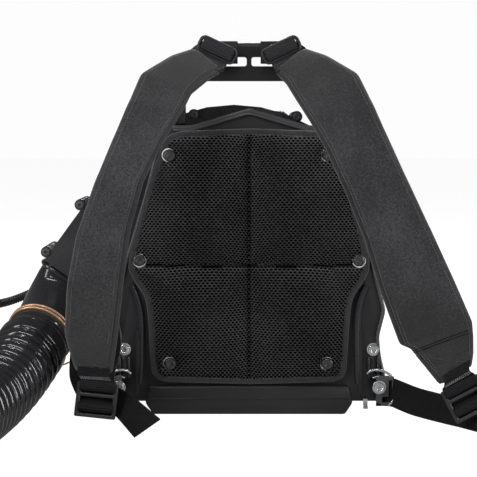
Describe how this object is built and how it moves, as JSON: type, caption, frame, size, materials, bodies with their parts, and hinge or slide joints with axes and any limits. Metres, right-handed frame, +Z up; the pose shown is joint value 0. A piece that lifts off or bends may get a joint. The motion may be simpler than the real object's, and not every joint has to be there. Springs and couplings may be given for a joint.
{
  "type": "backpack leaf blower",
  "caption": "Backpack petrol leaf blower with a padded harness, a scroll fan case, an engine behind it and a flexible hose leading to a hand-held blower wand.",
  "frame": {"origin": "centre of the flat underside of the base, which stands on the ground", "axes": "+Z up, -Y out of the harness pad towards the wearer and along the wand, +X to the right of the pad as the wearer backs onto it"},
  "size_m": [0.7013, 1.4412, 0.4865],
  "materials": {
    "frame_plastic": "moulded, fine spark-eroded grain",
    "wand_plastic": "moulded, satin",
    "duct_plastic": "glossy black",
    "buckle_plastic": "polished acetal",
    "pad_mesh": "spacer mesh over foam",
    "harness_fabric": "woven nylon",
    "zinc_steel": "bright zinc plate",
    "copper_wire": "copper-coloured wire",
    "engine_metal": "cast and machined",
    "muffler_steel": "heat-resistant paint",
    "impeller_plastic": "glass-filled nylon",
    "tank_plastic": "blow-moulded",
    "buffer_rubber": "matte",
    "conduit_plastic": "ribbed sleeve",
    "lever_orange": "moulded",
    "switch_red": "moulded"
  },
  "bodies": {
    "blower": {"air_filter_cover": "frame_plastic", "back_pad": "pad_mesh", "back_plate": "frame_plastic", "bracket_bolt_lower_left": "zinc_steel", "bracket_bolt_lower_right": "zinc_steel", "bracket_bolt_upper_left": "zinc_steel", "bracket_bolt_upper_right": "zinc_steel", "carburettor": "engine_metal", "carry_handle": "frame_plastic", "crankcase": "engine_metal", "cylinder": "engine_metal", "elbow_clamp": "copper_wire", "engine_cover": "frame_plastic", "fan_case_front": "frame_plastic", "fan_case_rear": "frame_plastic", "fuel_tank": "tank_plastic", "hose_cuff": "duct_plastic", "ladder_lock_left": "buckle_plastic", "ladder_lock_right": "buckle_plastic", "lower_webbing_left": "harness_fabric", "lower_webbing_right": "harness_fabric", "mount_lower_left": "buffer_rubber", "mount_lower_right": "buffer_rubber", "mount_upper": "buffer_rubber", "muffler": "muffler_steel", "outlet_elbow": "duct_plastic", "pad_rivet_1": "buckle_plastic", "pad_rivet_2": "buckle_plastic", "pad_rivet_3": "buckle_plastic", "pad_rivet_4": "buckle_plastic", "pad_rivet_5": "buckle_plastic", "pad_rivet_6": "buckle_plastic", "shoulder_pad_left": "harness_fabric", "shoulder_pad_right": "harness_fabric", "starter_housing": "frame_plastic", "strap_hook_left": "zinc_steel", "strap_hook_right": "zinc_steel", "top_slider_left": "buckle_plastic", "top_slider_right": "buckle_plastic", "top_webbing_left": "harness_fabric", "top_webbing_right": "harness_fabric"},
    "rotor": {"impeller": "impeller_plastic", "crankshaft": "engine_metal"},
    "piston": {"piston": "engine_metal"},
    "starter_grip": {"starter_grip": "buckle_plastic"},
    "starter_pulley": {"starter_pulley": "buckle_plastic"},
    "choke_lever": {"choke_lever": "buckle_plastic"},
    "primer_bulb": {"primer_bulb": "switch_red"},
    "fuel_cap": {"fuel_cap": "buckle_plastic"},
    "hose": {"flex_hose": "duct_plastic", "throttle_conduit_bow": "conduit_plastic"},
    "wand": {"wand_clamp": "zinc_steel", "control_tube": "wand_plastic", "grip_handle": "wand_plastic", "blower_tube": "wand_plastic", "nozzle": "wand_plastic", "throttle_conduit_front": "conduit_plastic"},
    "throttle_trigger": {"throttle_trigger": "buckle_plastic"},
    "cruise_lever": {"cruise_lever": "lever_orange"},
    "stop_switch": {"stop_switch": "switch_red"}
  },
  "joints": [
    {"name": "rotor_spin", "type": "hinge", "parent": "blower", "child": "rotor", "pos_m": [-0.012, 0, 0.203], "axis": [0, -1, 0], "continuous": true},
    {"name": "piston_slide", "type": "slide", "parent": "blower", "child": "piston", "axis": [0, 0, 1], "range_m": [-0.015, 0.015]},
    {"name": "starter_pull", "type": "slide", "parent": "blower", "child": "starter_grip", "axis": [-1, 0, 0], "range_m": [0, 0.5], "stiffness_N_per_m": 12, "springref_m": -0.1},
    {"name": "starter_pulley_turn", "type": "hinge", "parent": "blower", "child": "starter_pulley", "pos_m": [-0.012, 0.11, 0.203], "axis": [0, -1, 0], "range_deg": [0, 1200]},
    {"name": "choke_turn", "type": "hinge", "parent": "blower", "child": "choke_lever", "pos_m": [-0.11, 0.035, 0.3215], "axis": [0, 0, -1], "range_deg": [0, 45]},
    {"name": "primer_press", "type": "slide", "parent": "blower", "child": "primer_bulb", "axis": [0, -1, 0], "range_m": [0, 0.0045], "stiffness_N_per_m": 300},
    {"name": "fuel_cap_turn", "type": "hinge", "parent": "blower", "child": "fuel_cap", "pos_m": [0.078, 0.078, 0.112], "axis": [0, 0, 1], "range_deg": [0, 540]},
    {"name": "hose_yaw", "type": "hinge", "parent": "blower", "child": "hose", "pos_m": [-0.29292, -0.2073, 0.06437], "axis": [0, 0, 1], "range_deg": [-30, 12], "deforming": ["flex_hose", "throttle_conduit_bow"]},
    {"name": "hose_pitch", "type": "hinge", "parent": "hose", "child": "wand", "pos_m": [-0.31565, -0.32659, 0.04909], "axis": [-0.9982, 0.0599, 0], "range_deg": [0, 45]},
    {"name": "throttle_pull", "type": "hinge", "parent": "wand", "child": "throttle_trigger", "pos_m": [-0.32907, -0.51775, 0.15996], "axis": [0.9982, -0.0599, 0], "range_deg": [0, 15], "stiffness_Nm_per_rad": 0.1, "springref_deg": -17.19},
    {"name": "cruise_turn", "type": "hinge", "parent": "wand", "child": "cruise_lever", "pos_m": [-0.32884, -0.51394, 0.17052], "axis": [-0.9982, 0.0599, 0], "range_deg": [0, 60]},
    {"name": "stop_slide", "type": "slide", "parent": "wand", "child": "stop_switch", "axis": [-0.0599, -0.9981, -0.0175], "range_m": [0, 0.0025]}
  ],
  "couplings": [
    {"joint": "starter_pulley_turn", "follows": "starter_pull", "rad_per_m": 41.667}
  ]
}
